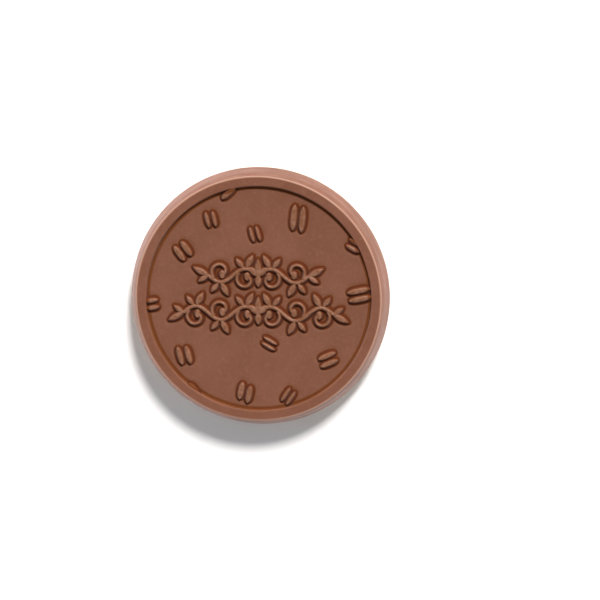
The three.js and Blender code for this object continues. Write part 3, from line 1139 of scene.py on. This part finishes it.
# %% Bake the biscuit
run_tree(
    biscuit, press_relief,
    {"Stamp": dough_stamp, "Level": floor_level, "Depth": leaf_relief, "Hollow Depth": 0.1 * mm,
     "Hollow Width": 0.8 * mm, "Corner Width": 0.5 * mm, "Material": sugar_dough},
)
run_tree(
    biscuit, press_grooves,
    {"Count": 68.0, "Inner Radius": 0.785 * biscuit_radius, "Outer Radius": 0.985 * biscuit_radius,
     "Half Width": 0.95 * mm, "Depth": 0.42 * mm, "Unevenness": 0.16, "Seed": 3.0,
     "Material": sugar_dough},
)
run_tree(
    biscuit, ruffle_skin,
    {"Broad Swing": 0.16 * mm, "Broad Size": 1.6 * mm, "Fine Swing": 0.08 * mm, "Fine Size": 0.5 * mm,
     "Lowest": 0.0, "Highest": dough_top, "Material": sugar_dough},
)
bpy.data.objects.remove(dough_stamp)
over = Matrix.Translation((0, 0, seam_z)) @ Matrix.Rotation(math.pi, 4, "X")
biscuit.data.transform(over)
print("the biscuit lies on its pressed side")

# %% [markdown]
# ## Stage
#
# The cookie lies on white paper in a light tent: soft light from all round, a lamp high behind it
# on the right, and a pale backdrop. The camera looks almost straight down at the face, tilted
# towards the lamp by a tenth of a right angle, with a long lens from half a metre away, so that the
# face stays nearly round.

# %% Lay the floor
def matt_white_paper(tree, place):
    pulp = add(tree, "TexNoise", {"Vector": place, "Scale": 1 / (2 * mm)})
    colour = layered(tree, linear("#f3f3f3"), (pulp, (0, 1), (0, 1), linear("#f7f7f7")))
    return {"Base Color": colour, "Roughness": 0.9}


sheet_half = 2.0
sheet_corners = [(sheet_half * x, sheet_half * y, 0) for x, y in ((-1, -1), (1, -1), (1, 1), (-1, 1))]
paper = mesh_piece("white_paper", sheet_corners, faces=[(0, 1, 2, 3)])
paper.data.materials.append(new_material(matt_white_paper))

# %% Place the camera
camera_tilt = math.radians(10.5)
camera_azimuth = math.radians(57.4)
camera_distance = 0.44
aim = Vector((0.322 * lip_radius, 0, face_z))


def direction_from(azimuth, elevation):
    """The direction from the middle of the stage towards an azimuth from +X and an elevation."""
    level = math.cos(elevation)
    return Vector((level * math.cos(azimuth), level * math.sin(azimuth), math.sin(elevation)))


away = direction_from(camera_azimuth, math.pi / 2 - camera_tilt)
right = Vector((0, 1, 0)).cross(away).normalized()
camera = bpy.data.objects.new("camera", bpy.data.cameras.new("camera"))
turned = Matrix((right, away.cross(right), away)).transposed().to_4x4()
camera.matrix_world = Matrix.Translation(aim + camera_distance * away) @ turned
camera.data.lens = 138.9
camera.data.sensor_width = 36
camera.data.clip_start = 0.01
bpy.context.scene.collection.objects.link(camera)
bpy.context.scene.camera = camera
print("the camera stands at", [round(value, 3) for value in camera.location])

# %% [markdown]
# ## Light
#
# Lamps far away light the whole sheet evenly, so suns with a wide disc are used instead of area
# lamps. A sun's distance doesn't count, and the angle of its disc sets how soft the shadows are. The
# main lamp stands high enough to keep shadows short and low enough to draw a dark line under the
# rim. Three more, close to the level of the table, light the wall from behind, from the right and
# from the left, and hardly touch the face. The two at the sides are narrow, so that the rim keeps
# their light off the relief. All three are hidden from reflections, where they would draw a grey
# line on every slope.
#
# The tent itself is the world. It is nearly as bright overhead as at its foot, and this even fill
# reaches into every hollow, so that a shadow line stays brown instead of turning black. The camera
# sees the tent as a plain pale backdrop.

# %% Set the lamps
lamp_distance = 0.5


def soft_sun(name, azimuth, elevation, strength, disc, colour, mirrored):
    """A distant lamp, with its place and disc width in degrees, and whether gloss mirrors it."""
    lamp = bpy.data.lights.new(name, "SUN")
    lamp.energy = strength
    lamp.angle = math.radians(disc)
    lamp.color = linear(colour)[:3]
    towards = direction_from(math.radians(azimuth), math.radians(elevation))
    source = bpy.data.objects.new(name, lamp)
    source.location = lamp_distance * towards
    source.visible_glossy = mirrored
    source.rotation_mode = "QUATERNION"
    source.rotation_quaternion = towards.to_track_quat("Z", "Y")
    bpy.context.scene.collection.objects.link(source)
    print(f"{name}: azimuth {azimuth}, elevation {elevation}, strength {strength}")


soft_sun("main_lamp", 69, 45, 4.2, 12, "#fffbf8", True)
soft_sun("wall_lamp", 70, 6, 1.8, 30, "#e6eeff", False)
soft_sun("right_lamp", 345, 1.5, 1.5, 4, "#e6eeff", False)
soft_sun("left_lamp", 170, 1.5, 3.0, 4, "#eeeeff", False)

# %% Pitch the light tent
tent = bpy.data.worlds.new("light_tent")
tent.use_nodes = True
tent_tree = tent.node_tree
tent_tree.nodes.clear()
towards = add(tent_tree, "TexCoord").outputs["Generated"]
rise = add(tent_tree, "SeparateXYZ", [towards]).outputs["Z"]
falling = {"Value": rise, "From Max": 0.6, "To Min": 0.4, "To Max": 0.36}
strength = add(tent_tree, "MapRange", falling, interpolation_type="SMOOTHSTEP")
tent_light = add(tent_tree, "Background", {"Color": linear("#fbfcff"), "Strength": strength})
backdrop = add(tent_tree, "Background", {"Color": linear("#fafafa")})
seen = add(tent_tree, "LightPath").outputs["Is Camera Ray"]
either = add(tent_tree, "MixShader", [seen, tent_light, backdrop])
add(tent_tree, "OutputWorld", [either])
print(f"{tent.name}: {len(tent_tree.nodes)} nodes")
bpy.context.scene.world = tent
bpy.context.scene.view_settings.view_transform = "Standard"

# %% [markdown]
# ## Joining the pieces to the model
#
# Each piece rides on the imported model's one body and stands for its solid there, which is hidden.

# %% Join and finish
for piece, node in ((biscuit, "biscuit"), (chocolate, "chocolate")):
    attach(piece, "root")
    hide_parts(node)
